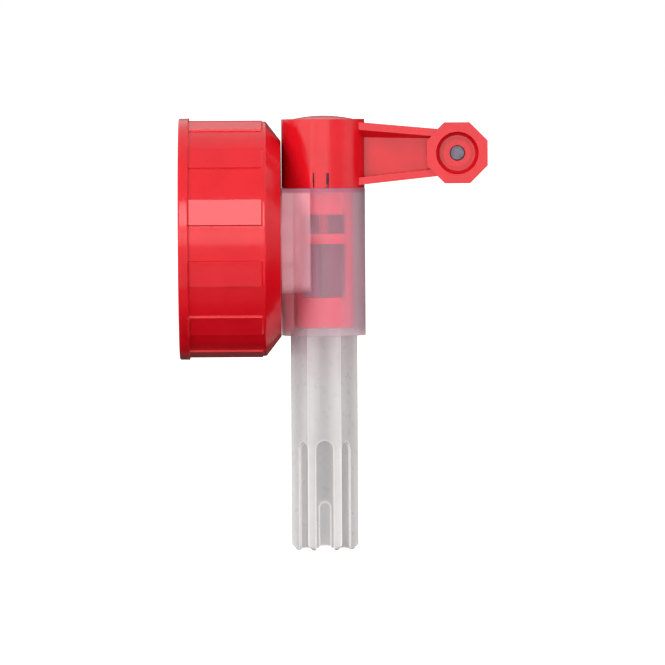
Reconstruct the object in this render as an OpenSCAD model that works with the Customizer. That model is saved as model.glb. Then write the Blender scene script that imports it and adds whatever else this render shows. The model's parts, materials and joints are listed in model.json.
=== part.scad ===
// Vented dispensing tap on a screw cap for a jerrycan or canister.
// The frame: the origin is the centre of the cap's open mouth, +X runs along the
// cap's axis towards the tap's barrel, and +Z points up along the barrel.

/* [Screw cap] */
// Outside diameter of the rim flange at the cap's mouth
cap_flange_d = 72; // [71.5:0.1:74]
// Height of the rim flange along the cap's axis
cap_flange_h = 3.1; // [2.5:0.1:4]
// Diameter across the plain stretches between the grip pads
cap_body_d = 70; // [69.6:0.1:70.4]
// Overall length of the cap
cap_len = 30.4; // [30:0.1:30.4]
// Length of the shoulder's bevel along the axis
shoulder_len = 4.5; // [3:0.1:6]
// Depth of the shoulder's bevel towards the axis
shoulder_depth = 5.8; // [4:0.1:7]
// Plain band between the grip pads and the shoulder
shoulder_band = 0.8; // [0.4:0.1:2]
// Number of raised grip pads
pad_count = 12; // [8:1:14]
// Angle that one pad spans
pad_angle = 12.8; // [10:0.1:14]
// Turn of the first pad away from the top of the cap
pad_turn = 16; // [0:0.5:29]
// Height of a pad above the body
pad_rise = 0.36; // [0.2:0.02:0.5]
// Thickness of the cap's floor
cap_floor = 2.5; // [2:0.1:3]

/* [Neck thread] */
// Diameter across the crests of the internal thread
thread_crest_d = 57.6; // [56.8:0.1:58]
// Diameter across the roots of the internal thread
thread_root_d = 61.4; // [60.5:0.1:62]
// Distance between turns
thread_pitch = 6; // [5:0.5:7]
// Width of the groove at its root
thread_root_w = 1.9; // [1.5:0.1:2.2]
// Width of the groove at the crests
thread_mouth_w = 4.2; // [3.5:0.1:4.5]
// Number of turns, counted from just outside the mouth
thread_turns = 3.5; // [2:0.5:3.5]
// Depth of the threaded bore that the neck enters
neck_depth = 22; // [20:0.1:22.2]
// Diameter of the plain bore beyond the thread, around the gasket
seat_bore_d = 57; // [56.8:0.1:57]

/* [Housing] */
// Distance from the cap's mouth to the barrel's axis
reach = 43; // [43:0.1:43.2]
// Outside diameter of the barrel
barrel_d = 25; // [24.6:0.1:25]
// Height of the barrel's top above the cap's axis
barrel_rise = 15.1; // [14.9:0.05:15.1]
// Depth of the barrel below the cap's axis
barrel_drop = 28.9; // [28:0.1:30]
// Depth of the groove in the barrel's top that the lever's detent tooth runs in
track_depth = 1; // [0.9:0.05:1.2]
// Outside diameter of that groove
track_d = 23.4; // [23.2:0.1:23.6]
// Diameter of the collar inside the lever's hub
collar_d = 20.2; // [19.6:0.1:20.3]
// Top of the collar above the cap's axis
collar_top = 21.5; // [20:0.1:21.5]
// Diameter of the barrel's bore
barrel_bore_d = 17.9; // [17.88:0.01:17.95]
// Diameter of the shank that passes through the cap
shank_d = 25.2; // [24.8:0.1:25.2]
// Diameter of the passage through the shank
shank_bore_d = 18.4; // [17:0.1:18.6]
// Width of the square boss that the cap turns against, from front to back
boss_w = 29; // [27:0.5:30]
// Depth of the boss below the cap's axis
boss_drop = 16.1; // [15:0.1:17]
// Radius of the boss's lower corners
boss_corner_r = 3; // [2:0.5:4]
// Distance from the barrel's axis to the boss's far face
boss_end = 3.9; // [2:0.1:6]
// Width of the ports between the shank and the barrel
port_w = 10.4; // [8:0.1:11]
// Thickness of the wall between the air passage and the liquid passage
divider_t = 2; // [1.5:0.1:2.6]

/* [Neck seal] */
// Outside diameter of the retaining ring and the gasket
seal_d = 56.4; // [55:0.1:56.6]
// Inside diameter of the gasket
gasket_bore_d = 43; // [38:0.5:46]
// Thickness of the gasket
gasket_t = 2.2; // [1.5:0.1:2.4]
// Thickness of the retaining ring
ring_t = 3; // [2.8:0.1:3.2]
// Diameter of the spigot that the ring snaps onto
spigot_d = 22.6; // [22.4:0.1:22.8]
// Section of the O-ring under the retaining ring
shank_seal_t = 1.35; // [1.2:0.05:1.4]

/* [Valve plug] */
// Diameter of the plug
plug_d = 17.8; // [17.76:0.01:17.8]
// Diameter of the plug's hollow
plug_bore_d = 13.8; // [13:0.1:14]
// Width of the windows through the plug
window_w = 13; // [11.5:0.1:13.2]
// Height of the air window
air_window_h = 5.75; // [4:0.05:6]
// Height of the liquid window
liquid_window_h = 16.1; // [12:0.1:16.5]
// Thickness of the floor between the air chamber and the liquid chamber
plug_floor_t = 3; // [2.4:0.1:3.2]
// Diameter of the neck above the plug
plug_neck_d = 11.8; // [11.4:0.1:11.8]
// Width across the flats of the square drive
drive_w = 9; // [8:0.1:9.2]
// Section of the O-ring on the plug's neck
plug_seal_t = 1.3; // [1.1:0.05:1.3]
// Outside diameter of the air tube
air_tube_d = 3.1; // [2.6:0.1:3.2]
// Inside diameter of the air tube
air_tube_bore_d = 2; // [1.4:0.1:2.2]
// Distance from the cap's axis down to the air tube's open end
air_tube_drop = 78.2; // [60:0.1:85]

/* [Lever] */
// Diameter of the lever's hub
hub_d = 24.85; // [24.5:0.05:24.9]
// Height of the hub's bottom edge above the cap's axis
hub_bottom = 15.2; // [15.2:0.05:15.3]
// Height of the hub's top above the cap's axis
hub_top = 35.6; // [34:0.1:37]
// Diameter inside the hub's skirt
skirt_bore_d = 21; // [20.8:0.1:21.4]
// Distance from the hub's axis to the centre of the octagonal head
head_reach = 40.05; // [36:0.05:44]
// Height of the head's centre above the cap's axis
head_rise = 25.3; // [25:0.1:25.6]
// Width of the octagonal head across its flats
head_w = 18.1; // [17:0.1:20]
// Depth of the head from front to back
head_t = 14.4; // [13:0.1:16]
// Depth of the arm's ribs from front to back
arm_t = 12.6; // [10:0.1:13]
// Thickness of the arm's web
web_t = 3.2; // [2:0.1:4]
// Height of the arm's top and bottom ribs
rib_h = 2.2; // [1.6:0.1:3]
// How much thicker the top rib is at the web, beside the hub
rib_flare = 2.4; // [0.5:0.1:3]
// Diameter of the round recess in the head, at the face
recess_d = 12.7; // [11:0.1:13]
// Diameter of the recess at its floor
recess_floor_d = 10.6; // [9.6:0.1:11]
// Depth of the round recess
recess_depth = 3; // [2:0.1:3.5]
// Diameter of the raised seat inside the recess
seat_d = 8.6; // [8:0.1:9.4]
// Diameter of the steel pin in the head
pin_d = 4.6; // [3:0.1:5]
// Width of the detent tooth
tooth_w = 4.4; // [3:0.1:5]
// Height of the detent tooth
tooth_h = 0.8; // [0.5:0.05:0.8]
// Height of the slits that free the detent tongue
slit_h = 4.4; // [3:0.1:5]

/* [Hub cap and screw] */
// Diameter of the domed hub cap
hub_cap_d = 18.6; // [16:0.1:19]
// Height of the dome above the hub
dome_h = 1.05; // [0.6:0.05:1.5]
// Diameter of the hub screw's head
screw_head_d = 7.2; // [6:0.1:8]
// Diameter of the hub screw's shank
screw_d = 2.8; // [2.4:0.1:3]

/* [Spout] */
// Width of the hexagonal spout across its corners
spout_corner_d = 20; // [19.6:0.1:20.4]
// Distance from the cap's axis down to the spout's end
spout_drop = 92.9; // [85:0.1:110]
// Diameter of the spout's bore
spout_bore_d = 11.8; // [11.2:0.1:11.8]
// Diameter of the wider bore at the spout's outlet
outlet_d = 12.4; // [12.2:0.1:12.8]
// Distance from the cap's axis down to the step between the two bores
outlet_top_drop = 78.65; // [75:0.05:85]
// Depth of the socket that the spout is welded into
socket_depth = 2.2; // [1.8:0.1:2.2]
// Distance from the cap's axis down to the top of the flutes
flute_top_drop = 60; // [55:0.5:70]
// Width of the flutes in the front and back faces
flute_w = 5.4; // [4.5:0.1:5.6]
// Width of the flutes in the side faces
side_flute_w = 5; // [4:0.1:5.2]
// Depth of the flutes
flute_depth = 1.3; // [0.8:0.1:1.4]
// Angle between a middle flute and the flutes beside it
flute_spread = 45; // [43:0.5:48]
// Distance from the cap's axis down to the deeper groove in a middle flute
groove_top_drop = 78.4; // [75:0.1:85]
// Width of the deeper groove
groove_w = 3.4; // [3:0.1:4]
// Extra depth of the deeper groove
groove_depth = 0.4; // [0.2:0.05:0.4]
// Widest radius of the countersink in the spout's end
mouth_r = 8.25; // [7.8:0.05:8.3]

/* [Hidden] */
$fn = 96;

red = "#d8232a";
natural = "#d9d3d1";
steel = "#a9abad";
black = "#202123";

eps = 0.05;
run_gap = 0.3;          // free space between faces that turn against each other
far = 60;               // longer than the cuts that use it need

cap_r = cap_body_d / 2;
crest_r = thread_crest_d / 2;
root_r = thread_root_d / 2;
grip_end = cap_len - shoulder_len - shoulder_band;
cap_inner_floor = cap_len - cap_floor;

thread_steps = 36;      // rings in one turn
thread_start = -1.5;
thread_overcut = 0.4;   // how far the groove's tool reaches inside the crests

ring_x1 = cap_inner_floor - run_gap;
ring_x0 = ring_x1 - ring_t;
gasket_x0 = ring_x0 - gasket_t;
spigot_x0 = ring_x0 - 1.1;
boss_x0 = cap_len + run_gap;
bead_w = 0.8;
bead_rise = 0.5;
ring_slack = 0.1;
shank_groove_w = 1.8;
shank_seal_x = ring_x1 - 1.2;
ring_bore_r = spigot_d / 2 + ring_slack;
shank_groove_r = ring_bore_r - shank_seal_t;

socket_top = socket_depth - barrel_drop;
bore_roof = 14.5;       // underside of the lip above the plug
neck_slack = 0.1;
lip_bore_r = plug_neck_d / 2 + neck_slack;
wall_face_x = reach - 11.5;
port_r = 8.4;
air_port_top = 7;

plug_bottom = socket_top + 0.2;
plug_top = bore_roof - 0.2;
chamber_split = plug_floor_t / 2;
stem_d = 3.2;
tube_socket_top = chamber_split - 1;
drive_top = 29.5;
plug_seal_z = 17.6;
plug_groove_w = 1.7;
plug_groove_r = lip_bore_r - neck_slack / 2 - plug_seal_t;

skirt_roof = collar_top + 0.5;
drive_slack = 0.1;
screw_seat = 31.5;
screw_tip = 20;
cap_seat = hub_top - 1;
counterbore_d = 8.8;
tooth_x = -1.15;        // the tooth lies a little to one side of the lever's far end
tooth_outer_d = 23;
arm_root_x = 9;
arm_end_x = 35.5;
arm_root_top = 34.75;
arm_root_bottom = 15.75;
arm_end_top = 32.32;
arm_end_bottom = 18.55;

spout_flat_r = spout_corner_d / 2 * cos(30);
flute_angles = [0, flute_spread, -flute_spread, 180, 180 + flute_spread, 180 - flute_spread];

// Turns a shape drawn along +Z so that it runs along +X.
module along_x() {
    rotate([0, 90, 0]) children();
}

// A ring or a disc along +X, from one station to another.
module ring_x(x0, x1, outer_d, inner_d = 0) {
    translate([x0, 0, 0]) along_x() difference() {
        cylinder(d = outer_d, h = x1 - x0);
        if (inner_d > 0) translate([0, 0, -eps]) cylinder(d = inner_d, h = x1 - x0 + 2 * eps);
    }
}

// Moves a shape to the barrel's axis.
module on_barrel() {
    translate([reach, 0, 0]) children();
}

// A round bar along +Z, from one level to another.
module bar_z(z0, z1, d) {
    translate([0, 0, z0]) cylinder(d = d, h = z1 - z0);
}

// A box centred on the barrel's axis, from one level to another.
module block_z(z0, z1, x, y) {
    translate([-x / 2, -y / 2, z0]) cube([x, y, z1 - z0]);
}

// ---------------------------------------------------------------- screw cap

// The point of the thread groove's section at one corner, for one angle of the helix.
function groove_corner(angle, corner) =
    let (
        outer = corner == 1 || corner == 2,
        side = corner < 2 ? -1 : 1,
        half = (outer ? thread_root_w : mouth_w_inside) / 2,
        r = outer ? root_r : crest_r - thread_overcut,
        z = thread_start + thread_pitch * angle / 360 + side * half
    )
    [r * cos(angle), r * sin(angle), z];

// The groove's width where its tool starts, just inside the crests.
mouth_w_inside = thread_mouth_w
    + (thread_mouth_w - thread_root_w) * thread_overcut / (root_r - crest_r);

// The thread's groove, swept as rings of four points.
module thread_groove() {
    rings = thread_turns * thread_steps;
    points = [for (i = [0:rings], c = [0:3]) groove_corner(i * 360 / thread_steps, c)];
    sides = [for (i = [0:rings - 1], c = [0:3])
        [4 * i + c, 4 * i + (c + 1) % 4, 4 * i + 4 + (c + 1) % 4, 4 * i + 4 + c]];
    polyhedron(points = points, faces = concat([[3, 2, 1, 0]], sides,
        [[4 * rings, 4 * rings + 1, 4 * rings + 2, 4 * rings + 3]]));
}

// One raised pad with a flat top, drawn across the cap's axis.
module grip_pad() {
    half = pad_angle / 2;
    foot = cap_r - 1;
    top = cap_r + pad_rise;
    linear_extrude(height = grip_end - cap_flange_h + eps) polygon([
        [foot, -foot * tan(half)], [top, -top * tan(half)],
        [top, top * tan(half)], [foot, foot * tan(half)]
    ]);
}

module screw_cap() {
    color(red) along_x() difference() {
        union() {
            cylinder(d = cap_flange_d, h = cap_flange_h);
            cylinder(r = cap_r, h = cap_len - shoulder_len);
            translate([0, 0, cap_len - shoulder_len])
                cylinder(r1 = cap_r, r2 = cap_r - shoulder_depth, h = shoulder_len);
            for (i = [0:pad_count - 1])
                rotate(180 + pad_turn + i * 360 / pad_count)
                    translate([0, 0, cap_flange_h - eps]) grip_pad();
        }
        translate([0, 0, -1]) cylinder(r = crest_r, h = neck_depth + 1);
        cylinder(d = seat_bore_d, h = cap_inner_floor);
        cylinder(d = shank_d + 2 * run_gap, h = far);
        thread_groove();
    }
}

// ------------------------------------------------------- seal and fastening

module neck_gasket() {
    color(black) ring_x(gasket_x0, ring_x0, seal_d, gasket_bore_d);
}

module retaining_ring() {
    color(natural) ring_x(ring_x0, ring_x1, seal_d, 2 * ring_bore_r);
}

module shank_o_ring() {
    color(black) translate([shank_seal_x, 0, 0]) along_x() rotate_extrude()
        translate([shank_groove_r + shank_seal_t / 2, 0]) circle(d = shank_seal_t, $fn = 24);
}

// ------------------------------------------------------------- tap housing

// The outside of the barrel and the collar above it.
module barrel_outside() {
    bar_z(-barrel_drop, barrel_rise, barrel_d);
    bar_z(0, collar_top, collar_d);
}

// A square boss around the shank, with rounded lower corners, level with the barrel's top.
module boss() {
    inset = boss_w / 2 - boss_corner_r;
    translate([boss_x0, 0, 0]) {
        translate([0, -boss_w / 2, boss_corner_r - boss_drop])
            cube([reach - boss_end - boss_x0, boss_w, barrel_rise + boss_drop - boss_corner_r]);
        translate([0, -inset, -boss_drop])
            cube([reach - boss_end - boss_x0, 2 * inset, 2 * boss_corner_r]);
        for (y = [-inset, inset])
            translate([0, y, boss_corner_r - boss_drop]) along_x()
                cylinder(r = boss_corner_r, h = reach - boss_end - boss_x0);
    }
}

// The shank, its boss and the spigot with the bead that holds the ring.
module shank_outside() {
    ring_x(ring_x1, reach, shank_d);
    ring_x(spigot_x0, ring_x1 + eps, spigot_d);
    ring_x(spigot_x0, spigot_x0 + bead_w, spigot_d + 2 * bead_rise);
    boss();
}

// One port between the shank's passage and the barrel's bore.
module port(z0, z1) {
    intersection() {
        ring_x(wall_face_x - 1, reach, 2 * port_r);
        translate([0, -port_w / 2, z0]) cube([far, port_w, z1 - z0]);
    }
}

module tap_housing() {
    color(natural) difference() {
        union() {
            on_barrel() barrel_outside();
            shank_outside();
        }
        on_barrel() {
            bar_z(socket_top, bore_roof, barrel_bore_d);
            bar_z(0, far, 2 * lip_bore_r);
            bar_z(-barrel_drop - 1, socket_top + eps, plug_bore_d);
            translate([0, 0, -barrel_drop - 1])
                cylinder(d = spout_corner_d, h = socket_depth + 1, $fn = 6);
            difference() {
                bar_z(barrel_rise - track_depth, far, track_d);
                bar_z(0, far, collar_d);
            }
        }
        difference() {
            ring_x(spigot_x0 - 1, wall_face_x, shank_bore_d);
            translate([0, -far / 2, -divider_t / 2]) cube([far, far, divider_t]);
        }
        port(chamber_split, air_port_top);
        port(-far, -chamber_split);
        ring_x(shank_seal_x - shank_groove_w / 2, shank_seal_x + shank_groove_w / 2,
            spigot_d + 4, 2 * shank_groove_r);
    }
}

// ------------------------------------------------------------------- spout

// A rounded flute along a face of the spout, open at the spout's end.
module flute(angle, width, face_r, depth, top_drop) {
    rotate(angle - 90) translate([face_r - depth, 0, 0]) {
        translate([0, 0, -top_drop - width / 2]) rotate([0, 90, 0]) cylinder(d = width, h = far);
        translate([0, -width / 2, -spout_drop - 1])
            cube([far, width, spout_drop + 1 - top_drop - width / 2]);
    }
}

module spout_tube() {
    spout_len = spout_drop + socket_top;
    bevel = spout_corner_d / 2 - mouth_r;
    color(natural) on_barrel() difference() {
        translate([0, 0, -spout_drop]) intersection() {
            cylinder(d = spout_corner_d, h = spout_len, $fn = 6);
            union() {
                cylinder(r1 = mouth_r + 0.15, r2 = spout_corner_d / 2 + 0.15, h = bevel);
                translate([0, 0, bevel]) cylinder(r = spout_corner_d, h = spout_len);
            }
        }
        bar_z(-outlet_top_drop - eps, socket_top + 1, spout_bore_d);
        bar_z(-spout_drop - 1, -outlet_top_drop, outlet_d);
        translate([0, 0, -spout_drop - eps])
            cylinder(r1 = mouth_r + eps, r2 = outlet_d / 2, h = mouth_r + eps - outlet_d / 2);
        for (a = flute_angles) {
            middle = a == 0 || a == 180;
            flute(a, middle ? flute_w : side_flute_w,
                middle ? spout_flat_r : spout_flat_r / cos(60 - flute_spread),
                flute_depth, flute_top_drop + (middle ? 0 : 0.6));
            if (middle) flute(a, groove_w, spout_flat_r, flute_depth + groove_depth, groove_top_drop);
        }
    }
}

// -------------------------------------------------------------- valve plug

module valve_plug() {
    color(red) on_barrel() difference() {
        union() {
            bar_z(plug_bottom, plug_top, plug_d);
            bar_z(plug_top - eps, collar_top, plug_neck_d);
            intersection() {
                block_z(collar_top - eps, drive_top, drive_w, drive_w);
                bar_z(collar_top - 1, drive_top + 1, plug_neck_d);
            }
        }
        // The liquid chamber, open at the bottom, and its window from front to back.
        bar_z(plug_bottom - 1, -chamber_split, plug_bore_d);
        block_z(-chamber_split - liquid_window_h, -chamber_split, window_w, far);
        // The air chamber around its hollow stem, and its window.
        difference() {
            union() {
                bar_z(chamber_split, chamber_split + air_window_h, plug_bore_d);
                block_z(chamber_split, chamber_split + air_window_h, window_w, far);
            }
            bar_z(chamber_split - 1, chamber_split + air_window_h + 1, stem_d);
        }
        // The air tube's socket, the stem's bore and the hole in the stem's side.
        bar_z(-chamber_split - 1, tube_socket_top, air_tube_d);
        bar_z(tube_socket_top - eps, chamber_split + 4, air_tube_bore_d);
        block_z(chamber_split + 2, chamber_split + 4, stem_d + 1, 1.4);
        // The hub screw's pilot hole and the groove for the O-ring.
        bar_z(screw_tip - 1, far, screw_d);
        difference() {
            bar_z(plug_seal_z - plug_groove_w / 2, plug_seal_z + plug_groove_w / 2, plug_d);
            bar_z(plug_seal_z - plug_groove_w, plug_seal_z + plug_groove_w, 2 * plug_groove_r);
        }
    }
}

module plug_o_ring() {
    color(black) on_barrel() translate([0, 0, plug_seal_z]) rotate_extrude()
        translate([plug_groove_r + plug_seal_t / 2, 0]) circle(d = plug_seal_t, $fn = 24);
}

module air_tube() {
    color(natural) on_barrel() difference() {
        bar_z(-air_tube_drop, tube_socket_top, air_tube_d);
        bar_z(-air_tube_drop - 1, tube_socket_top + 1, air_tube_bore_d);
    }
}

// ------------------------------------------------------------------- lever

// A plate in the lever's plane between two depths, drawn in from the arm's outline by the given
// amounts along its bottom, at the top beside the hub, and at the top beside the head.
module arm_plate(y0, y1, bottom, top_root, top_end) {
    translate([0, y1, 0]) rotate([90, 0, 0]) linear_extrude(height = y1 - y0) polygon([
        [arm_root_x, arm_root_bottom + bottom], [arm_end_x, arm_end_bottom + bottom],
        [arm_end_x, arm_end_top - top_end], [arm_root_x, arm_root_top - top_root]
    ]);
}

// The pocket between the ribs on the back of the web, with a sloped wall under the top rib.
module pocket() {
    hull() {
        arm_plate(web_t / 2, web_t / 2 + eps, rib_h + 0.4, rib_h + rib_flare, rib_h + 0.5);
        arm_plate(arm_t / 2, arm_t / 2 + eps, rib_h, rib_h, rib_h);
    }
}

module arm() {
    difference() {
        arm_plate(-arm_t / 2, arm_t / 2, 0, 0, 0);
        pocket();
        mirror([0, 1, 0]) pocket();
    }
}

// The octagonal head with a round recess and a raised seat on each side.
module head() {
    translate([head_reach, 0, head_rise]) rotate([90, 0, 0]) difference() {
        rotate(22.5) cylinder(d = head_w / cos(22.5), h = head_t, center = true, $fn = 8);
        for (side = [0, 180]) rotate([side, 0, 0]) difference() {
            translate([0, 0, head_t / 2 - recess_depth])
                cylinder(d1 = recess_floor_d, d2 = 2 * recess_d - recess_floor_d, h = 2 * recess_depth);
            cylinder(d = seat_d, h = head_t / 2 - recess_depth + 0.6);
        }
        cylinder(d = pin_d, h = far, center = true);
    }
}

// The tooth under the detent tongue, rounded from below.
module detent_tooth() {
    r = (tooth_w * tooth_w / 4 + tooth_h * tooth_h) / (2 * tooth_h);
    intersection() {
        difference() {
            bar_z(hub_bottom - tooth_h, hub_bottom + 1, tooth_outer_d);
            bar_z(hub_bottom - 2, hub_bottom + 2, skirt_bore_d);
        }
        translate([tooth_x, 0, hub_bottom - tooth_h + r]) rotate([90, 0, 0]) cylinder(r = r, h = far);
    }
}

// A slit through the front of the skirt beside the tongue.
module tongue_slit(x, width) {
    translate([x - width / 2, -far, hub_bottom - 1]) cube([width, far, slit_h + 1]);
}

module lever() {
    color(red) on_barrel() union() {
        difference() {
            union() {
                bar_z(hub_bottom, hub_top, hub_d);
                arm();
            }
            bar_z(hub_bottom - 1, skirt_roof, skirt_bore_d);
            block_z(skirt_roof - eps, drive_top + 0.2, drive_w + 2 * drive_slack,
                drive_w + 2 * drive_slack);
            bar_z(drive_top, far, screw_d + 0.4);
            bar_z(screw_seat, far, counterbore_d);
            bar_z(cap_seat, far, hub_cap_d + 0.2);
            tongue_slit(-2.8, 0.4);
            tongue_slit(1.35, 0.8);
        }
        detent_tooth();
        head();
    }
}

module lever_pin() {
    pin_len = head_t - 2 * recess_depth + 1.6;
    bevel = 0.3;
    color(steel) on_barrel() translate([head_reach, 0, head_rise]) rotate([90, 0, 0]) {
        translate([0, 0, -pin_len / 2]) cylinder(d = pin_d, h = pin_len);
        for (side = [0, 180]) rotate([side, 0, 0]) translate([0, 0, pin_len / 2])
            cylinder(d1 = pin_d, d2 = pin_d - 2 * bevel, h = bevel);
    }
}

// ------------------------------------------------------ hub cap and screw

// A shallow dome on a disc, with a plug that fills the counterbore's mouth.
module hub_cap() {
    r = hub_cap_d / 2;
    dome_r = (r * r + dome_h * dome_h) / (2 * dome_h);
    color(red) on_barrel() {
        bar_z(cap_seat, hub_top, hub_cap_d);
        bar_z(cap_seat - 0.4, cap_seat + eps, counterbore_d - 0.1);
        translate([0, 0, hub_top]) rotate_extrude() intersection() {
            translate([0, dome_h - dome_r]) circle(r = dome_r);
            square([r, far]);
        }
    }
}

module hub_screw() {
    slot_w = 0.9;
    slot_l = 4;
    head_h = 2.3;
    color(steel) on_barrel() difference() {
        union() {
            bar_z(screw_seat, screw_seat + head_h, screw_head_d);
            bar_z(screw_tip, screw_seat + eps, screw_d);
        }
        for (turn = [0, 90]) rotate(turn)
            block_z(screw_seat + head_h - 1.2, screw_seat + head_h + 1, slot_l, slot_w);
    }
}

screw_cap();
neck_gasket();
retaining_ring();
shank_o_ring();
tap_housing();
spout_tube();
valve_plug();
plug_o_ring();
air_tube();
lever();
hub_cap();
hub_screw();
lever_pin();
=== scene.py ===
"""Looks for the canister tap: red screw cap, milky barrel and spout, red plug and red lever.

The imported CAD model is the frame. Each piece is made again here with soft edges, in the same place
and at the same size. The cap is turned from its own outline, and the others start from the CAD
node's mesh. Lengths are metres; MM turns millimetres into metres.
"""
import json
import math

import bmesh
import bpy
from mathutils import Matrix, Vector


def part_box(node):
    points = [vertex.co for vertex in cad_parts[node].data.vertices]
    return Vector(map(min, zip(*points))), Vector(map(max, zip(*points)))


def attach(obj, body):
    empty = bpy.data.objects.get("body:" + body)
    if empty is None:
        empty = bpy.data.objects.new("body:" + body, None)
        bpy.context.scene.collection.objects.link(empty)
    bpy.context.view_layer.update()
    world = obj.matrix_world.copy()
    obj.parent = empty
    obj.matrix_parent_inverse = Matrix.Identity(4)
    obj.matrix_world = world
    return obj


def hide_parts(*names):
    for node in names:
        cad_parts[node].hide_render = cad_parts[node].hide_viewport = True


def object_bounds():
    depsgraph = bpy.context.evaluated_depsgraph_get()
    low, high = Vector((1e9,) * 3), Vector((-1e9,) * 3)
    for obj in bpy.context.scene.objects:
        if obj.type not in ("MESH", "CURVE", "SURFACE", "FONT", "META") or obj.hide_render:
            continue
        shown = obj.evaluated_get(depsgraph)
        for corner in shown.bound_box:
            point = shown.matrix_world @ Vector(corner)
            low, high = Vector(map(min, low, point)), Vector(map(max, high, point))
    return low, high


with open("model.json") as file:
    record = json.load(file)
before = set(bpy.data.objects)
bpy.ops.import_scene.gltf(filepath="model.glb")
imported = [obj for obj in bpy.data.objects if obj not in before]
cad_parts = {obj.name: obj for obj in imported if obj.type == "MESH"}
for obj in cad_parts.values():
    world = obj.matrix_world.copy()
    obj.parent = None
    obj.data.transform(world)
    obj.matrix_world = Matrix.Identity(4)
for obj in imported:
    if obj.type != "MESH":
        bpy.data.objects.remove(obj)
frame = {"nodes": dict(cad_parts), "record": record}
CAD_LOW, CAD_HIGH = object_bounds()
MM = 0.001

_, CAP_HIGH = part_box("screw_cap")
SPOUT_LOW, SPOUT_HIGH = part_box("spout_tube")
PIN_LOW, PIN_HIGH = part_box("lever_pin")
PIN_CENTRE = (PIN_LOW + PIN_HIGH) / 2
BARREL_X = (SPOUT_LOW.x + SPOUT_HIGH.x) / 2
BODY_OF = {
    node: body for body, nodes in frame["record"]["behaviour"]["bodies"].items() for node in nodes
}
SLOT_OF = {part["node"]: part["material_slot"] for part in frame["record"]["subparts"]}


# ------------------------------------------------------------------ node graphs


class Graph:
    """A short way to write a material's nodes.

    The method node adds one node and returns it. The methods after it add nodes and return outputs.
    """

    def __init__(self, tree):
        self.tree = tree

    def put(self, socket, value):
        if isinstance(value, bpy.types.NodeSocket):
            self.tree.links.new(value, socket)
        elif value is not None:
            socket.default_value = value

    def node(self, kind, inputs=None, **settings):
        made = self.tree.nodes.new(kind)
        for key, value in settings.items():
            setattr(made, key, value)
        for key, value in (inputs or {}).items():
            self.put(made.inputs[key], value)
        return made

    def calc(self, how, *values):
        return self.node("ShaderNodeMath", dict(enumerate(values)), operation=how).outputs[0]

    def times(self, first, second):
        return self.calc("MULTIPLY", first, second)

    def vector(self, how, inputs, output="Vector"):
        return self.node("ShaderNodeVectorMath", inputs, operation=how).outputs[output]

    def split(self, vector):
        return self.node("ShaderNodeSeparateXYZ", {0: vector}).outputs

    def span(self, value, low, high, to_low=0.0, to_high=1.0):
        """The value moved from one span of numbers to another, and kept inside it."""
        inputs = {
            "Value": value, "From Min": low, "From Max": high, "To Min": to_low, "To Max": to_high
        }
        return self.node("ShaderNodeMapRange", inputs).outputs["Result"]

    def mix(self, factor, first, second):
        """A number between two others."""
        return self.node("ShaderNodeMix", {0: factor, 2: first, 3: second}).outputs[0]

    def blend(self, factor, first, second):
        """A colour between two others."""
        inputs = {0: factor, 6: first, 7: second}
        return self.node("ShaderNodeMix", inputs, data_type="RGBA").outputs[2]

    def place(self):
        return self.node("ShaderNodeTexCoord").outputs["Object"]

    def surface(self, what):
        return self.node("ShaderNodeNewGeometry").outputs[what]

    def noise(self, size, detail=3.0, rough=0.55, stretch=(1, 1, 1)):
        """Noise whose features are about as long as size, in metres."""
        spot = self.node("ShaderNodeMapping", {"Vector": self.place(), "Scale": stretch})
        inputs = {
            "Vector": spot.outputs[0], "Scale": 1 / size, "Detail": detail, "Roughness": rough
        }
        return self.node("ShaderNodeTexNoise", inputs).outputs["Fac"]

    def bump(self, height, distance, normal=None):
        inputs = {"Height": height, "Distance": distance, "Normal": normal}
        return self.node("ShaderNodeBump", inputs).outputs["Normal"]

    def edges(self, radius):
        """0 on flat stretches, and up to 1 where the surface turns within this radius."""
        soft = self.node("ShaderNodeBevel", {"Radius": radius}, samples=4).outputs["Normal"]
        dot = self.vector("DOT_PRODUCT", {0: soft, 1: self.surface("Normal")}, "Value")
        return self.span(dot, 1.0, 0.8)

    def principled(self, inputs):
        return self.node("ShaderNodeBsdfPrincipled", inputs).outputs["BSDF"]


def material(name):
    """A new material with its graph and the socket that its shader goes into."""
    made = bpy.data.materials.new(name)
    made.use_nodes = True
    made.node_tree.nodes.clear()
    graph = Graph(made.node_tree)
    return made, graph, graph.node("ShaderNodeOutputMaterial").inputs["Surface"]


# -------------------------------------------------------------------- materials

NOISE_MIDDLE = (0.3, 0.7)      # most values of a noise lie between these
LONG_GRAIN = (1, 1, 0.35)      # stretches a noise along the barrel
EDGE_HIGHLIGHT = 0.15                # how far the painted highlight turns the red plastic's edges to its light colour
GROOVES = (1.2 * MM, 2.8 * MM)       # the floor and the top of the flutes, outside the skin radius, between which the painted groove shade runs
BOSS_BACK = (-12.8 * MM, -12.5 * MM)    # the retaining ring is left of this from the axis
FAR_SIDES = (-9 * MM, 12 * MM)       # the far skin goes from one colour to the other between these
# the colour of the painted highlight on the spout's ridges
RIDGE_HIGHLIGHT_COLOUR = (0.93, 0.88, 0.87, 1)
FAR_SKIN_COVER = 0.93          # how far the far skin hides what is behind it
NEAR_BORE_COVER = 0.06         # the near side of the bore, seen from inside the wall
LEVEL_BORE_COVER = 0.9         # the same on faces that look up or down
LEVEL_NORMAL = 0.7             # a face looks up or down if its normal's z is beyond this
LIGHT_SHARE = 0.12             # how much of the veil shadow and diffuse rays meet


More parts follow.
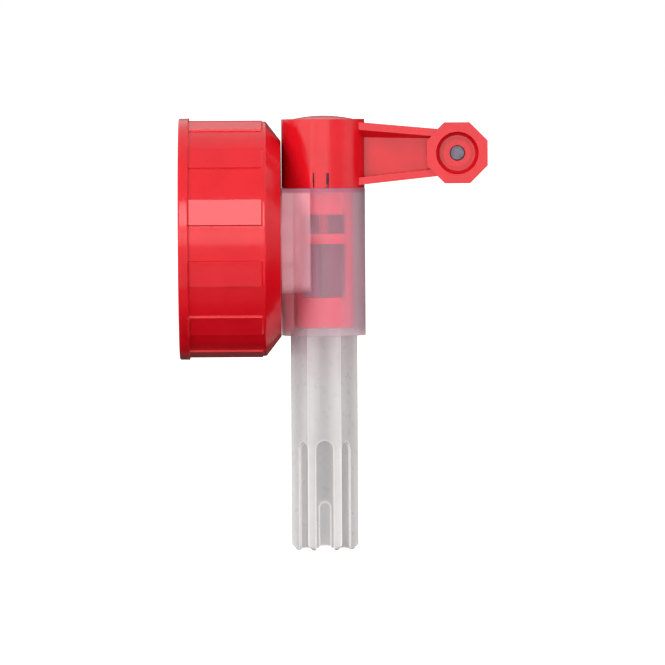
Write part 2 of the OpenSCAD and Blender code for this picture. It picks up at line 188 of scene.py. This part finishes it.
def red_plastic(name, base, deep, light, rough, grain):
    """Moulded red plastic: cloudy pigment, fine texture, a painted highlight on the edges and a soft
    gloss.
    """
    made, g, surface = material(name)
    colour = g.blend(g.span(g.noise(9 * MM, 4), *NOISE_MIDDLE), deep, base)
    # Painted highlight: the edges turn towards the light colour.
    colour = g.blend(g.times(g.edges(0.35 * MM), EDGE_HIGHLIGHT), colour, light)
    skin = g.bump(g.noise(0.35 * MM, 4, 0.6), grain)
    skin = g.bump(g.noise(2.2 * MM, 3), 0.008 * MM, skin)
    skin = g.bump(g.noise(9 * MM, 2), 0.02 * MM, skin)
    gloss = g.span(g.noise(1.6 * MM, 5, 0.65), *NOISE_MIDDLE, rough - 0.05, rough + 0.07)
    g.put(surface, g.principled({
        "Base Color": colour,
        "Roughness": gloss,
        "IOR": 1.49,
        "Specular IOR Level": 0.42,
        "Normal": skin,
    }))
    return made


def natural_plastic(name, skin_r, milk, tint, tint_z, far, inner_shade, cover, core_cover, rough,
                    depth=(1, 1), ridge_highlight=0.0, zones=()):
    """Milky moulded plastic around the barrel's axis.

    Beyond skin_r from the axis is the skin, and within it the bore's surface, painted in
    inner_shade:
    a dark colour that stands for the shade inside the wall and behind the plug.
    The near skin is a veil that shows what lies inside. The far skin and the far side of the bore,
    seen through the inside, are nearly opaque, as light scatters in the wall. What is red inside
    tints the milk between the two heights of tint_z. Depth is painted shade that darkens the grooves
    and lightens the ridge tops a little, and ridge_highlight paints a highlight on the edges. A zone
    is a part with its own colour and cover, some of them painted shade or light. It fades in from
    the first to the second of its two values of x and of its two values of z.
    """
    made, g, surface = material(name)
    spot = g.split(g.place())
    off = g.calc("SUBTRACT", spot["X"], BARREL_X)
    square = g.calc("ADD", g.times(off, off), g.times(spot["Y"], spot["Y"]))
    radius = g.calc("POWER", square, 0.5)
    skin = g.calc("GREATER_THAN", radius, skin_r)
    leaving = g.surface("Backfacing")

    tone_and_groove_shade = g.span(g.noise(6 * MM, 4, 0.6, LONG_GRAIN), *NOISE_MIDDLE, 0.94, 1.06)
    # Painted shade: by depth, the tone darkens on the flute floors and lightens a little on the
    # ridge tops.
    tone_and_groove_shade = g.times(tone_and_groove_shade, g.span(radius, *[skin_r + height for height in GROOVES], *depth))
    by_plug = g.span(off, *BOSS_BACK)
    outside = g.blend(g.times(g.span(spot["Z"], *tint_z), by_plug), milk, tint)
    outside = g.blend(leaving, outside, g.blend(g.span(off, *FAR_SIDES), *far))
    for zone in zones:
        inside = g.times(g.span(spot["X"], *zone["x"]), g.span(spot["Z"], *zone["z"]))
        inside = g.times(inside, by_plug)
        outside = g.blend(inside, outside, zone["colour"])
        cover = g.mix(inside, cover, zone["cover"])
    # Inside skin_r the surface takes inner_shade, a painted shade.
    colour = g.vector("SCALE", {0: g.blend(skin, inner_shade, outside), "Scale": tone_and_groove_shade})
    # Painted highlight on the edges of the ridges.
    if ridge_highlight:
        colour = g.blend(g.times(g.edges(0.7 * MM), ridge_highlight), colour, RIDGE_HIGHLIGHT_COLOUR)

    veil = g.times(g.span(g.noise(11 * MM, 3, 0.5, LONG_GRAIN), 0.25, 0.75, 0.92, 1.08), cover)
    on_skin = g.span(leaving, 0, 1, veil, FAR_SKIN_COVER)
    level = g.calc("ABSOLUTE", g.split(g.surface("True Normal"))["Z"])
    level = g.calc("GREATER_THAN", level, LEVEL_NORMAL)
    near_bore = g.span(level, 0, 1, NEAR_BORE_COVER, LEVEL_BORE_COVER)
    alpha = g.mix(skin, g.mix(leaving, core_cover, near_bore), on_skin)
    rays = g.node("ShaderNodeLightPath").outputs
    lighting = g.calc("MAXIMUM", rays["Is Shadow Ray"], rays["Is Diffuse Ray"])
    alpha = g.times(alpha, g.span(lighting, 0, 1, 1.0, LIGHT_SHARE))

    relief = g.bump(g.noise(0.5 * MM, 4, 0.6), 0.004 * MM)
    relief = g.bump(g.noise(6 * MM, 2, 0.5, LONG_GRAIN), 0.010 * MM, relief)
    g.put(surface, g.principled({
        "Base Color": colour,
        "Roughness": g.span(g.noise(2 * MM, 4), *NOISE_MIDDLE, rough - 0.05, rough + 0.08),
        "IOR": 1.5,
        "Specular IOR Level": 0.4,
        "Alpha": alpha,
        "Normal": relief,
    }))
    return made


def rubber(name):
    """Black moulded rubber with a dusty bloom."""
    made, g, surface = material(name)
    dust = g.span(g.noise(1.5 * MM, 6, 0.7), 0.45, 0.75)
    g.put(surface, g.principled({
        "Base Color": g.blend(dust, (0.018, 0.018, 0.019, 1), (0.05, 0.05, 0.052, 1)),
        "Roughness": g.span(dust, 0, 1, 0.5, 0.8),
        "Normal": g.bump(g.noise(0.3 * MM, 4), 0.01 * MM),
    }))
    return made


def drawn_steel(name, centre):
    """Dull steel. Its cut ends carry fine turning rings around the axis through centre, along Y."""
    made, g, surface = material(name)
    spot = g.vector("SUBTRACT", {0: g.place(), 1: (centre[0], 0, centre[2])})
    flat = g.vector("MULTIPLY", {0: spot, 1: (1, 0, 1)})
    radius = g.vector("LENGTH", {0: flat}, "Value")
    outwards = g.node("ShaderNodeCombineXYZ", {"X": radius}).outputs[0]
    rings = g.node("ShaderNodeTexNoise", {"Vector": outwards, "Scale": 6000.0, "Detail": 3.0})
    rings = rings.outputs["Fac"]
    stain = g.span(g.noise(1.2 * MM, 5, 0.7), 0.35, 0.7)
    g.put(surface, g.principled({
        "Base Color": g.blend(stain, (0.08, 0.075, 0.10, 1), (0.17, 0.145, 0.18, 1)),
        "Metallic": 0.85,
        "Roughness": g.span(rings, *NOISE_MIDDLE, 0.38, 0.55),
        "Normal": g.bump(rings, 0.008 * MM),
    }))
    return made


# light is the colour of the painted highlight on the red plastic's edges
RED = dict(
    base=(0.60, 0.0045, 0.012, 1), deep=(0.54, 0.003, 0.009, 1), light=(0.75, 0.05, 0.05, 1)
)
# A lighter copy of the red for the plug: painted light, as the plug sits in the milky barrel's
# shade.
PLUG_RED_PAINTED_LIGHTER = dict(
    base=(0.86, 0.025, 0.06, 1), deep=(0.8, 0.02, 0.05, 1), light=(0.95, 0.1, 0.1, 1)
)
WHOLE_BARREL = (0, 1 * MM)     # all of the barrel is right of this
BARREL_ZONES = (
    # The right edge: painted shade on the barrel's right side, under a thicker veil
    dict(x=(BARREL_X + 5 * MM, BARREL_X + 12 * MM), z=(-40 * MM, -30 * MM),
         colour=(0.42, 0.27, 0.33, 1), cover=0.66),
    # The left edge
    dict(x=(BARREL_X - 8.2 * MM, BARREL_X - 9.4 * MM), z=(-40 * MM, -30 * MM),
         colour=(0.78, 0.27, 0.35, 1), cover=0.7),
    # The boss: the milk of the thicker boss, lightened as painted light where the cap shades it
    dict(x=(BARREL_X - 3.5 * MM, BARREL_X - 4.1 * MM), z=(-16.4 * MM, -15.8 * MM),
         colour=(0.79, 0.38, 0.45, 1), cover=0.66),
    # The top lip: painted shade under the hub, with the hub's red tooth seen through
    dict(x=WHOLE_BARREL, z=(13.5 * MM, 14.1 * MM), colour=(0.42, 0.13, 0.20, 1), cover=0.7),
    # The foot
    dict(x=WHOLE_BARREL, z=(-26.5 * MM, -28.5 * MM), colour=(0.66, 0.48, 0.53, 1), cover=0.42),
)
FINISH = {
    "red_cap": red_plastic("red_cap", rough=0.15, grain=0.009 * MM, **RED),
    "red_lever": red_plastic("red_lever", rough=0.19, grain=0.005 * MM, **RED),
    "red_plug": red_plastic("red_plug", rough=0.2, grain=0.006 * MM, **PLUG_RED_PAINTED_LIGHTER),
    "natural_barrel": natural_plastic(
        "natural_barrel", skin_r=10.5 * MM,
        milk=(0.62, 0.50, 0.54, 1), tint=(0.68, 0.40, 0.47, 1), tint_z=(-28 * MM, -24 * MM),
        far=((0.72, 0.30, 0.38, 1), (0.50, 0.38, 0.42, 1)), inner_shade=(0.36, 0.12, 0.30, 1),
        cover=0.36, core_cover=0.9, rough=0.34, zones=BARREL_ZONES,
    ),
    "natural_spout": natural_plastic(
        "natural_spout", skin_r=6.6 * MM,
        milk=(0.61, 0.585, 0.59, 1), tint=(0.57, 0.47, 0.50, 1), tint_z=(-45 * MM, -27 * MM),
        far=((0.50, 0.49, 0.50, 1), (0.50, 0.49, 0.50, 1)), inner_shade=(0.46, 0.45, 0.47, 1),
        # depth paints shade into the flutes, and ridge_highlight paints highlights on the ridges'
        # edges
        cover=0.62, core_cover=0.35, rough=0.3, depth=(0.66, 1.05), ridge_highlight=0.85,
    ),
    "seal": rubber("seal"),
    "steel": drawn_steel("steel", PIN_CENTRE),
}


def finish(piece, node):
    """Gives a piece the material, slot and body of the CAD node that it stands for."""
    slot = SLOT_OF[node]
    piece.data.materials.clear()
    piece.data.materials.append(FINISH[slot])
    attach(piece, BODY_OF[node])
    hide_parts(node)


# ----------------------------------------------------------------- mesh helpers

ARC_STEPS = 3                  # the straight pieces that an outline's rounded corner is made of
WELD = 0.001 * MM              # points of the CAD mesh closer than this are one
FLAT_ANGLE = math.radians(0.3)    # its faces that turn less than this are one
FLAT_WEIGHT = 80               # how strongly the large faces rule the shading


def new_object(name, bm, smooth_angle=30):
    """Turns a bmesh into an object with smooth shading up to an angle in degrees."""
    mesh = bpy.data.meshes.new(name)
    bmesh.ops.recalc_face_normals(bm, faces=bm.faces)
    bm.to_mesh(mesh)
    bm.free()
    mesh.shade_smooth()
    mesh.set_sharp_from_angle(angle=math.radians(smooth_angle))
    made = bpy.data.objects.new(name, mesh)
    bpy.context.scene.collection.objects.link(made)
    return made


def weigh_normals(piece):
    """Keeps flat faces flat in the shading, right up to their rounded edges."""
    weighted = piece.modifiers.new("flat_faces", "WEIGHTED_NORMAL")
    weighted.keep_sharp = True
    weighted.weight = FLAT_WEIGHT


def moulded(node, name, edge, segments=3, angle=32):
    """The CAD node's shape as a new piece, with its hard edges rounded to the mould's radius."""
    bm = bmesh.new()
    bm.from_mesh(frame["nodes"][node].data)
    bmesh.ops.remove_doubles(bm, verts=bm.verts, dist=WELD)
    bmesh.ops.dissolve_limit(bm, angle_limit=FLAT_ANGLE, verts=bm.verts, edges=bm.edges)
    made = new_object(name, bm, smooth_angle=40)
    bevel = made.modifiers.new("soft_edges", "BEVEL")
    bevel.width = edge
    bevel.segments = segments
    bevel.limit_method = "ANGLE"
    bevel.angle_limit = math.radians(angle)
    bevel.use_clamp_overlap = True
    bevel.miter_outer = "MITER_ARC"
    weigh_normals(made)
    finish(made, node)


def filleted(corners):
    """A closed outline from corners (x, r, radius), with an arc of that radius at each corner."""
    outline = []
    count = len(corners)
    for i, (x, r, radius) in enumerate(corners):
        here = Vector((x, r))
        if radius == 0:
            outline.append(here)
            continue
        back = (Vector(corners[i - 1][:2]) - here).normalized()
        ahead = (Vector(corners[(i + 1) % count][:2]) - here).normalized()
        half = back.angle(ahead) / 2
        centre = here + (back + ahead).normalized() * radius / math.sin(half)
        start = here + back * radius / math.tan(half) - centre
        end = here + ahead * radius / math.tan(half) - centre
        turn = start.angle_signed(end)
        for k in range(ARC_STEPS + 1):
            outline.append(centre + Matrix.Rotation(-turn * k / ARC_STEPS, 2) @ start)
    return outline


def with_stations(outline, low, high, gap):
    """The outline with extra points along its edges wherever x lies between low and high."""
    dense = []
    for i, here in enumerate(outline):
        ahead = outline[(i + 1) % len(outline)]
        dense.append(here)
        if max(here.x, ahead.x) - min(here.x, ahead.x) < gap:
            continue
        steps = math.ceil((ahead - here).length / gap)
        for k in range(1, steps):
            spot = here.lerp(ahead, k / steps)
            if low <= spot.x <= high:
                dense.append(spot)
    return dense


def turned(name, outline, angles, shape):
    """Turns a closed outline about the X axis, where shape(x, r, angle) is each point's radius."""
    bm = bmesh.new()
    rings = []
    for angle in angles:
        ring = []
        for spot in outline:
            r = shape(spot.x, spot.y, angle)
            ring.append(bm.verts.new((spot.x, r * math.cos(angle), r * math.sin(angle))))
        rings.append(ring)
    for a, ring in enumerate(rings):
        after = rings[(a + 1) % len(rings)]
        for i in range(len(ring)):
            j = (i + 1) % len(ring)
            bm.faces.new((ring[i], ring[j], after[j], after[i]))
    return new_object(name, bm, smooth_angle=35)


def smoothstep(value):
    """Rises softly from 0 to 1 as the value goes from 0 to 1."""
    value = min(1.0, max(0.0, value))
    return value * value * (3 - 2 * value)


# -------------------------------------------------------------------- screw cap

FLANGE_R = 36 * MM
FLANGE_H = 3.1 * MM
CAP_R = 35 * MM
SHOULDER_X = CAP_HIGH.x - 4.5 * MM
SHOULDER_R = CAP_R - 5.8 * MM
HOLE_R = 12.9 * MM
FLOOR_X = CAP_HIGH.x - 2.5 * MM
SEAT_R = 28.5 * MM
NECK_DEPTH = 22 * MM
CREST_R = 28.8 * MM
CREST_SLACK = 0.05 * MM        # the outline's points this near to the crests are in the thread
ROOT_R = 30.7 * MM
OUTSIDE_R = ROOT_R + 1 * MM    # the outline's points beyond this are on the cap's outside
PITCH = 6 * MM
THREAD_START = -1.5 * MM
THREAD_END = 19.5 * MM
THREAD_FADE = 1.5 * MM
GROOVE_HALF = 2.1 * MM
GROOVE_SLOPE = 1.15 * MM
PADS = 12
PAD_HALF = math.radians(6.4)
PAD_TURN = math.radians(90 + 16)
PAD_EDGE = math.radians(0.45)
PAD_TOP = CAP_R + 0.36 * MM
PAD_END = SHOULDER_X - 0.8 * MM
PAD_FADE = 0.4 * MM
PAD_SLACK = 0.2 * MM           # how far past the pads' ends the outline may still be raised
PAD_EDGE_STEPS = 4
# Where the cap's outline is repeated, in degrees from the middle of each pad
PAD_STATIONS = [-15, -12.5, -10, -8] + [k * 1.25 for k in range(-4, 5)] + [8, 10, 12.5]


def pad_offset(angle):
    """The angle from the middle of the nearest grip pad."""
    step = 2 * math.pi / PADS
    return (angle - PAD_TURN + step / 2) % step - step / 2


def cap_radius(x, r, angle):
    """Raises the grip pads outside and sinks the thread's groove inside."""
    off = pad_offset(angle)
    if r > OUTSIDE_R and FLANGE_H - PAD_SLACK < x < PAD_END + PAD_SLACK:
        across = smoothstep((PAD_HALF - abs(off)) / PAD_EDGE + 0.5)
        along = smoothstep((PAD_END - x) / PAD_FADE)
        return r + (PAD_TOP / math.cos(off) - CAP_R) * across * along
    if abs(r - CREST_R) < CREST_SLACK:
        turn = (x - THREAD_START - PITCH * angle / (2 * math.pi)) % PITCH
        off_groove = min(turn, PITCH - turn)
        depth = smoothstep((GROOVE_HALF - off_groove) / GROOVE_SLOPE)
        return r + (ROOT_R - CREST_R) * depth * smoothstep((THREAD_END - x) / THREAD_FADE)
    return r


def build_cap():
    """Turns the cap's outline and puts the result in the CAD cap's place."""
    outline = filleted([
        (0, FLANGE_R, 0.5 * MM),
        (FLANGE_H, FLANGE_R, 0.35 * MM),
        (FLANGE_H, CAP_R, 0.2 * MM),
        (SHOULDER_X, CAP_R, 0.6 * MM),
        (CAP_HIGH.x, SHOULDER_R, 0.6 * MM),
        (CAP_HIGH.x, HOLE_R, 0.3 * MM),
        (FLOOR_X, HOLE_R, 0.3 * MM),
        (FLOOR_X, SEAT_R, 0.5 * MM),
        (NECK_DEPTH, SEAT_R, 0),
        (NECK_DEPTH, CREST_R, 0),
        (0, CREST_R, 0.3 * MM),
    ])
    outline = with_stations(outline, low=0.6 * MM, high=SHOULDER_X, gap=0.45 * MM)
    angles = []
    for pad in range(PADS):
        middle = PAD_TURN + pad * 2 * math.pi / PADS
        angles += [middle + math.radians(station) for station in PAD_STATIONS]
        for side in (-1, 1):
            for k in range(1 - PAD_EDGE_STEPS, PAD_EDGE_STEPS):
                angles.append(middle + side * (PAD_HALF + k * PAD_EDGE / PAD_EDGE_STEPS))
    angles.sort()
    cap = turned("cap_shell", outline, angles, cap_radius)
    weigh_normals(cap)
    finish(cap, "screw_cap")


build_cap()

# ------------------------------------------------------------ all other pieces

moulded("lever", "lever_body", edge=0.6 * MM, segments=4)
moulded("hub_cap", "hub_lid", edge=0.25 * MM)
moulded("lever_pin", "head_pin", edge=0.12 * MM)
moulded("tap_housing", "barrel_body", edge=0.3 * MM)
moulded("spout_tube", "spout_body", edge=0.3 * MM)
moulded("valve_plug", "plug_body", edge=0.3 * MM)
moulded("air_tube", "vent_tube", edge=0.12 * MM)
moulded("retaining_ring", "ring_body", edge=0.3 * MM)
moulded("neck_gasket", "gasket_body", edge=0.25 * MM)
moulded("hub_screw", "screw_body", edge=0.12 * MM)
moulded("shank_o_ring", "shank_seal", edge=0.02 * MM, segments=1, angle=80)
moulded("plug_o_ring", "plug_seal", edge=0.02 * MM, segments=1, angle=80)


# ------------------------------------------------------------- stage and light

CENTRE = (CAD_LOW + CAD_HIGH) / 2
ROOM_LIGHT = 0.78
ROOM_SKY = 1.15                # how much brighter the room is above the object than below it
ROOM_DARK = 0.08               # what is left of the light underneath
ROOM_FLOOR = -0.72             # the room turns dark below this height on the unit sphere
ROOM_EDGE = 0.02               # over this much height, up and down
ROOM_SLOPE = 0.55              # how fast that height rises towards the right
ROOM_BACK = (0.45, 0.89, -0.6)    # and the room turns dark in this direction
FLOOR_Z = CAD_LOW.z - 0.06
FLOOR_GLOW = 0.65
LIGHT_DISTANCE = 1.6
# Name, azimuth and elevation in degrees, width and height in metres, power in watts, and which
# rays don't see the light. Azimuth 0 is in front of the object and 90 is to its right.
LIGHTS = (
    ("high_card", 0, 25, 1.0, 0.65, 10.5, "visible_diffuse"),
    ("level_card", -28, 4, 3.2, 0.42, 8, "visible_diffuse"),
    ("key", -38, 42, 0.35, 0.35, 7, "visible_glossy"),
    ("side_key", -31, 6, 0.3, 0.3, 7.5, "visible_glossy"),
    ("left_card", -104, 2, 1.7, 0.9, 6, "visible_diffuse"),
    ("front_fill", 8, -8, 1.0, 1.0, 5.5, "visible_glossy"),
    ("low_fill", 10, -50, 0.8, 0.8, 5, "visible_glossy"),
    ("right_fill", 75, 5, 0.9, 0.9, 11.5, "visible_glossy"),
)
CAMERA_DISTANCE = 3.0
CAMERA_RISE = math.radians(1.7)
CAMERA_ROLL = math.radians(-0.35)
CAMERA_SHIFT = -0.5 * MM
VIEW_WIDTH = 198.5 * MM        # what the picture spans at the object's centre
SENSOR_WIDTH = 36


def build_floor():
    """A pale floor below the object. From underneath it is clear."""
    made, g, surface = material("pale_floor")
    g.put(surface, g.principled({
        "Base Color": g.blend(g.noise(0.4, 2), (0.93, 0.93, 0.93, 1), (0.96, 0.96, 0.96, 1)),
        "Roughness": 0.7,
        "Specular IOR Level": 0.1,
        "Emission Color": (1, 1, 1, 1),
        "Emission Strength": FLOOR_GLOW,
        "Alpha": g.span(g.surface("Backfacing"), 0, 1, 1.0, 0.0),
    }))
    bm = bmesh.new()
    bmesh.ops.create_grid(bm, x_segments=2, y_segments=2, size=30)
    floor = new_object("floor", bm)
    floor.location = (CENTRE.x, CENTRE.y, FLOOR_Z)
    floor.data.materials.append(made)
    floor.visible_diffuse = False
    floor.visible_glossy = False


def build_world():
    """White for the camera. For the object a bright room that is dark behind and underneath."""
    world = bpy.data.worlds.new("studio")
    world.use_nodes = True
    world.node_tree.nodes.clear()
    g = Graph(world.node_tree)
    way = g.node("ShaderNodeTexCoord").outputs["Generated"]
    up = g.split(way)["Z"]
    right = g.calc("MAXIMUM", g.split(way)["X"], 0.0)
    height = g.calc("SUBTRACT", up, g.times(right, ROOM_SLOPE))
    inputs = {
        "Value": height, "From Min": ROOM_FLOOR - ROOM_EDGE, "From Max": ROOM_FLOOR + ROOM_EDGE,
        "To Min": ROOM_DARK, "To Max": 1.0,
    }
    above = g.node("ShaderNodeMapRange", inputs, interpolation_type="SMOOTHSTEP")
    back = g.vector("DOT_PRODUCT", {0: way, 1: ROOM_BACK}, "Value")
    glow = g.times(above.outputs["Result"], g.span(back, 0.55, 0.8, 1.0, 0.10))
    glow = g.times(g.times(glow, g.span(up, -0.05, 0.15, 1.0, ROOM_SKY)), ROOM_LIGHT)
    around = g.node("ShaderNodeBackground", {"Color": (1, 0.985, 0.98, 1), "Strength": glow})
    behind = g.node("ShaderNodeBackground", {"Color": (1, 1, 1, 1), "Strength": 1.0})
    seen = g.node("ShaderNodeLightPath").outputs["Is Camera Ray"]
    both = g.node("ShaderNodeMixShader", {0: seen, 1: around.outputs[0], 2: behind.outputs[0]})
    g.put(g.node("ShaderNodeOutputWorld").inputs["Surface"], both.outputs[0])
    bpy.context.scene.world = world


def build_camera():
    """A long lens from the front, a little above the object and turned a hair off level."""
    data = bpy.data.cameras.new("camera")
    data.sensor_width = SENSOR_WIDTH
    data.lens = data.sensor_width * CAMERA_DISTANCE / VIEW_WIDTH
    data.clip_end = 100
    camera = bpy.data.objects.new("camera", data)
    away = Vector((0, -math.cos(CAMERA_RISE), math.sin(CAMERA_RISE)))
    camera.location = CENTRE + Vector((CAMERA_SHIFT, 0, 0)) + away * CAMERA_DISTANCE
    facing = away.to_track_quat("Z", "Y").to_matrix()
    camera.rotation_euler = (facing @ Matrix.Rotation(CAMERA_ROLL, 3, "Z")).to_euler()
    bpy.context.scene.collection.objects.link(camera)
    bpy.context.scene.camera = camera


def area_light(name, azimuth, elevation, width, height, power, left_out):
    """A soft oblong light aimed at the object."""
    data = bpy.data.lights.new(name, "AREA")
    data.shape = "RECTANGLE"
    data.size = width
    data.size_y = height
    data.energy = power
    lamp = bpy.data.objects.new(name, data)
    a, e = math.radians(azimuth), math.radians(elevation)
    away = Vector((math.sin(a) * math.cos(e), -math.cos(a) * math.cos(e), math.sin(e)))
    lamp.location = CENTRE + away * LIGHT_DISTANCE
    lamp.rotation_euler = away.to_track_quat("Z", "Y").to_euler()
    setattr(lamp, left_out, False)
    bpy.context.scene.collection.objects.link(lamp)


build_floor()
build_world()
build_camera()
for light in LIGHTS:
    area_light(*light)
bpy.context.scene.view_settings.view_transform = "Standard"
